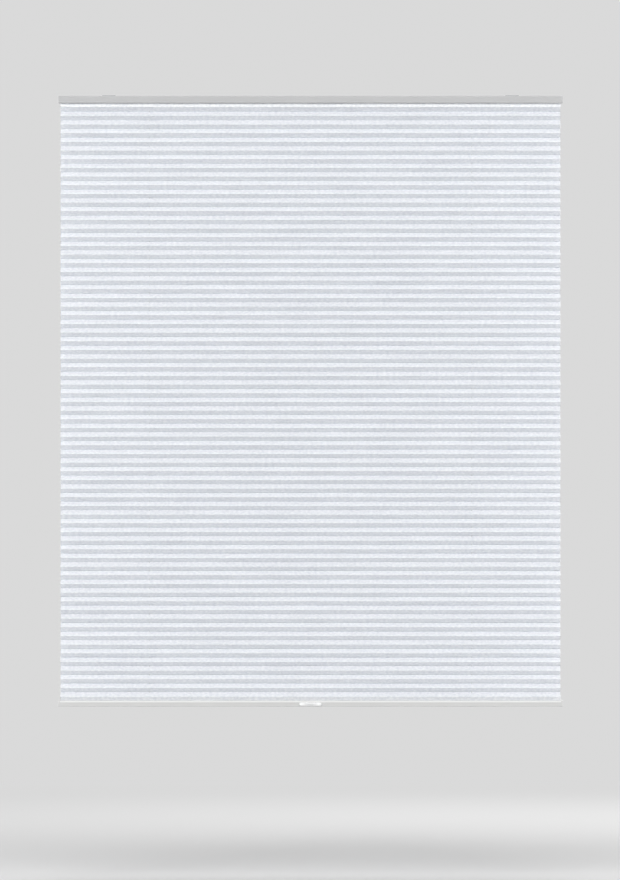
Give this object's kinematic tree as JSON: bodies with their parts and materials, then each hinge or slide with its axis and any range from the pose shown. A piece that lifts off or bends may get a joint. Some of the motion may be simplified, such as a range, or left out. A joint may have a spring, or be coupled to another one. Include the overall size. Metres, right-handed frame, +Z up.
{
  "type": "pleated blind",
  "caption": "Cordless pleated window blind: slim head rail with a spring lift motor, pleated fabric, weighted bottom rail with a pull handle.",
  "frame": {"origin": "middle of the fixing plane on top of the brackets, midway front to back", "axes": "+X along the rails, -Y towards the room, +Z up; the blind hangs below the origin"},
  "size_m": [1, 0.0369, 1.2132],
  "materials": {
    "rail_coat": "white powder coat",
    "cap_plastic": "white moulded",
    "bracket_steel": "zinc plated",
    "motor_plastic": "grey moulded",
    "drum_plastic": "natural moulded",
    "spring_steel": "rolled",
    "cord_fibre": "braided",
    "strip_plastic": "white extruded",
    "pleat_fabric": "crepe weave",
    "handle_plastic": "white moulded"
  },
  "bodies": {
    "head": {"head_rail": "rail_coat", "head_end_cap_left": "cap_plastic", "head_end_cap_right": "cap_plastic", "bracket_left": "bracket_steel", "bracket_right": "bracket_steel", "motor_tray": "motor_plastic", "motor_cover": "motor_plastic", "motor_spring": "spring_steel", "cord_guide_left": "drum_plastic", "cord_guide_right": "drum_plastic", "guide_pin_left": "bracket_steel", "guide_pin_right": "bracket_steel", "lift_cord_left": "cord_fibre", "lift_cord_right": "cord_fibre", "top_strip": "strip_plastic", "pleated_fabric": "pleat_fabric"},
    "bottom": {"bottom_strip": "strip_plastic", "bottom_rail": "rail_coat", "bottom_end_cap_left": "cap_plastic", "bottom_end_cap_right": "cap_plastic", "cord_anchor_left": "cap_plastic", "cord_anchor_right": "cap_plastic", "weight_bar": "spring_steel", "pull_handle": "handle_plastic"},
    "left_spool": {"cord_spool_left": "drum_plastic"},
    "storage_drum": {"spring_storage_drum": "drum_plastic"},
    "drive_drum": {"spring_drive_drum": "drum_plastic"},
    "right_spool": {"cord_spool_right": "drum_plastic"},
    "left_roller": {"guide_roller_left": "drum_plastic"},
    "right_roller": {"guide_roller_right": "drum_plastic"}
  },
  "joints": [
    {"name": "rail_lift", "type": "slide", "parent": "head", "child": "bottom", "axis": [0, 0, 1], "range_m": [0, 1.1], "deforming": ["pleated_fabric", "lift_cord_left", "lift_cord_right", "motor_spring"]},
    {"name": "left_spool_turn", "type": "hinge", "parent": "head", "child": "left_spool", "pos_m": [-0.03015, 0, -0.0069], "axis": [0, 0, 1], "range_deg": [-8840, 0]},
    {"name": "storage_drum_turn", "type": "hinge", "parent": "head", "child": "storage_drum", "pos_m": [-0.01005, 0, -0.0069], "axis": [0, 0, 1], "range_deg": [0, 8840]},
    {"name": "drive_drum_turn", "type": "hinge", "parent": "head", "child": "drive_drum", "pos_m": [0.01005, 0, -0.0069], "axis": [0, 0, 1], "range_deg": [-8840, 0]},
    {"name": "right_spool_turn", "type": "hinge", "parent": "head", "child": "right_spool", "pos_m": [0.03015, 0, -0.0069], "axis": [0, 0, 1], "range_deg": [0, 8840]},
    {"name": "left_roller_turn", "type": "hinge", "parent": "head", "child": "left_roller", "pos_m": [-0.3174, 0.0056, -0.0089], "axis": [0, 1, 0], "range_deg": [0, 26280]},
    {"name": "right_roller_turn", "type": "hinge", "parent": "head", "child": "right_roller", "pos_m": [0.3174, 0.0056, -0.0089], "axis": [0, 1, 0], "range_deg": [-26280, 0]}
  ],
  "couplings": [
    {"joint": "left_spool_turn", "follows": "rail_lift", "rad_per_m": -140},
    {"joint": "storage_drum_turn", "follows": "rail_lift", "rad_per_m": 140},
    {"joint": "drive_drum_turn", "follows": "rail_lift", "rad_per_m": -140},
    {"joint": "right_spool_turn", "follows": "rail_lift", "rad_per_m": 140},
    {"joint": "left_roller_turn", "follows": "rail_lift", "rad_per_m": 416.67},
    {"joint": "right_roller_turn", "follows": "rail_lift", "rad_per_m": -416.67}
  ]
}
